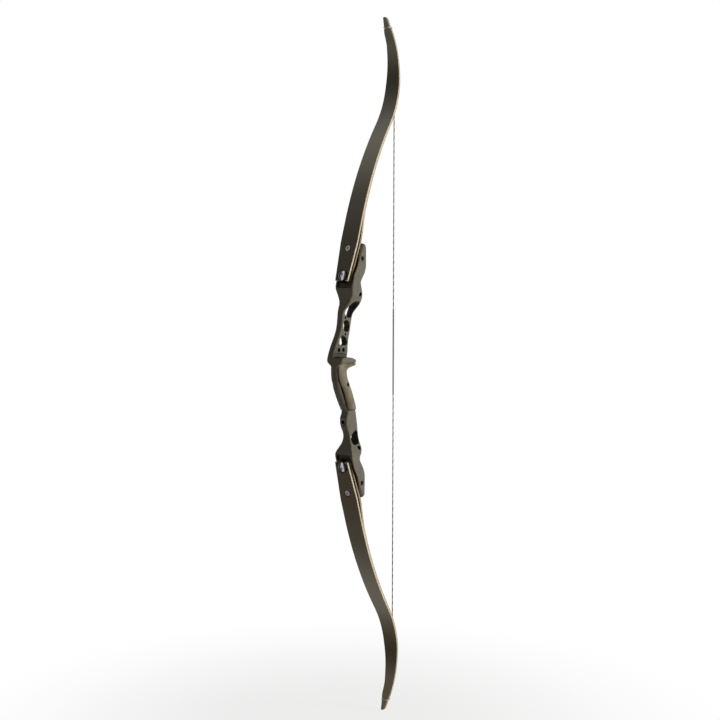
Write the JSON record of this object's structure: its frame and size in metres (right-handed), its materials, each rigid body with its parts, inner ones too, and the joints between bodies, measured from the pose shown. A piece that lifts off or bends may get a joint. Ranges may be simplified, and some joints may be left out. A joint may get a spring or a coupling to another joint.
{
  "type": "takedown recurve bow",
  "caption": "Takedown target recurve bow with a machined riser, wooden grip, laminated limbs on adjustable bolts and a strung twisted string.",
  "frame": {"origin": "throat of the grip, where the web of the bow hand rests", "axes": "+Z along the straight string towards the upper limb tip, -Y towards the target, +X to the side that the sight window is open to"},
  "size_m": [0.045, 0.2015, 1.4616],
  "materials": {
    "riser_anodised": "satin, dark grey-brown anodised",
    "grip_wood": "satin lacquered",
    "dark_steel": "blackened",
    "bright_steel": "plain",
    "bolt_chrome": "polished",
    "limb_glass": "black glass laminate, semi-gloss",
    "pale_core": "clear coated",
    "brown_core": "clear coated",
    "dark_wedge": "clear coated",
    "string_strands": "waxed strands, two colours",
    "serving_dark": "waxed winding",
    "serving_white": "white winding"
  },
  "bodies": {
    "riser_body": {"riser": "riser_anodised", "wooden_grip": "grip_wood", "grip_screws": "dark_steel", "stabilizer_bushing": "bright_steel", "bowstring": "string_strands", "centre_serving": "serving_dark", "upper_bolt_barrel": "bright_steel", "upper_lock_screw": "dark_steel", "upper_alignment_dowel": "bright_steel", "upper_alignment_screws": "dark_steel", "lower_bolt_barrel": "bright_steel", "lower_lock_screw": "dark_steel", "lower_alignment_dowel": "bright_steel", "lower_alignment_screws": "dark_steel"},
    "upper_washer_body": {"upper_bolt_washer": "dark_steel"},
    "upper_bolt_body": {"upper_limb_bolt": "bolt_chrome"},
    "upper_limb_body": {"upper_back_glass": "limb_glass", "upper_front_core": "pale_core", "upper_butt_wedge": "dark_wedge", "upper_rear_core": "brown_core", "upper_belly_glass": "limb_glass", "upper_tip_overlay": "limb_glass", "upper_dovetail_fitting": "bright_steel", "upper_fitting_screw": "dark_steel", "upper_detent_spring": "bright_steel", "upper_string_loop": "serving_white"},
    "upper_detent_body": {"upper_detent_pin": "bright_steel"},
    "lower_washer_body": {"lower_bolt_washer": "dark_steel"},
    "lower_bolt_body": {"lower_limb_bolt": "bolt_chrome"},
    "lower_limb_body": {"lower_back_glass": "limb_glass", "lower_front_core": "pale_core", "lower_butt_wedge": "dark_wedge", "lower_rear_core": "brown_core", "lower_belly_glass": "limb_glass", "lower_tip_overlay": "limb_glass", "lower_dovetail_fitting": "bright_steel", "lower_fitting_screw": "dark_steel", "lower_detent_spring": "bright_steel", "lower_string_loop": "serving_white"},
    "lower_detent_body": {"lower_detent_pin": "bright_steel"}
  },
  "joints": [
    {"name": "upper_washer_slide", "type": "slide", "parent": "riser_body", "child": "upper_washer_body", "axis": [0, -0.9532, 0.3024], "range_m": [-0.0011, 0.0011]},
    {"name": "upper_bolt_turn", "type": "hinge", "parent": "upper_washer_body", "child": "upper_bolt_body", "pos_m": [0, -0.00722, 0.19401], "axis": [0, -0.9532, 0.3024], "range_deg": [-400, 400]},
    {"name": "upper_limb_tilt", "type": "hinge", "parent": "riser_body", "child": "upper_limb_body", "pos_m": [0, 0.02542, 0.25027], "axis": [-1, 0, 0], "range_deg": [-0.9, 0.9], "deforming": ["bowstring"]},
    {"name": "upper_detent_press", "type": "slide", "parent": "upper_limb_body", "child": "upper_detent_body", "axis": [0, -0.9532, 0.3024], "range_m": [0, 0.0024], "stiffness_N_per_m": 600, "springref_m": -0.002, "deforming": ["upper_detent_spring"]},
    {"name": "lower_washer_slide", "type": "slide", "parent": "riser_body", "child": "lower_washer_body", "axis": [0, -0.9532, -0.3024], "range_m": [-0.0011, 0.0011]},
    {"name": "lower_bolt_turn", "type": "hinge", "parent": "lower_washer_body", "child": "lower_bolt_body", "pos_m": [0, -0.00722, -0.19401], "axis": [0, -0.9532, -0.3024], "range_deg": [-400, 400]},
    {"name": "lower_limb_tilt", "type": "hinge", "parent": "riser_body", "child": "lower_limb_body", "pos_m": [0, 0.02542, -0.25027], "axis": [1, 0, 0], "range_deg": [-0.9, 0.9], "deforming": ["bowstring"]},
    {"name": "lower_detent_press", "type": "slide", "parent": "lower_limb_body", "child": "lower_detent_body", "axis": [0, -0.9532, -0.3024], "range_m": [0, 0.0024], "stiffness_N_per_m": 600, "springref_m": -0.002, "deforming": ["lower_detent_spring"]}
  ],
  "couplings": [
    {"joint": "upper_bolt_turn", "follows": "upper_limb_tilt", "ratio": 398.98},
    {"joint": "upper_washer_slide", "follows": "upper_limb_tilt", "m_per_rad": 0.0635},
    {"joint": "lower_bolt_turn", "follows": "lower_limb_tilt", "ratio": 398.98},
    {"joint": "lower_washer_slide", "follows": "lower_limb_tilt", "m_per_rad": 0.0635}
  ]
}
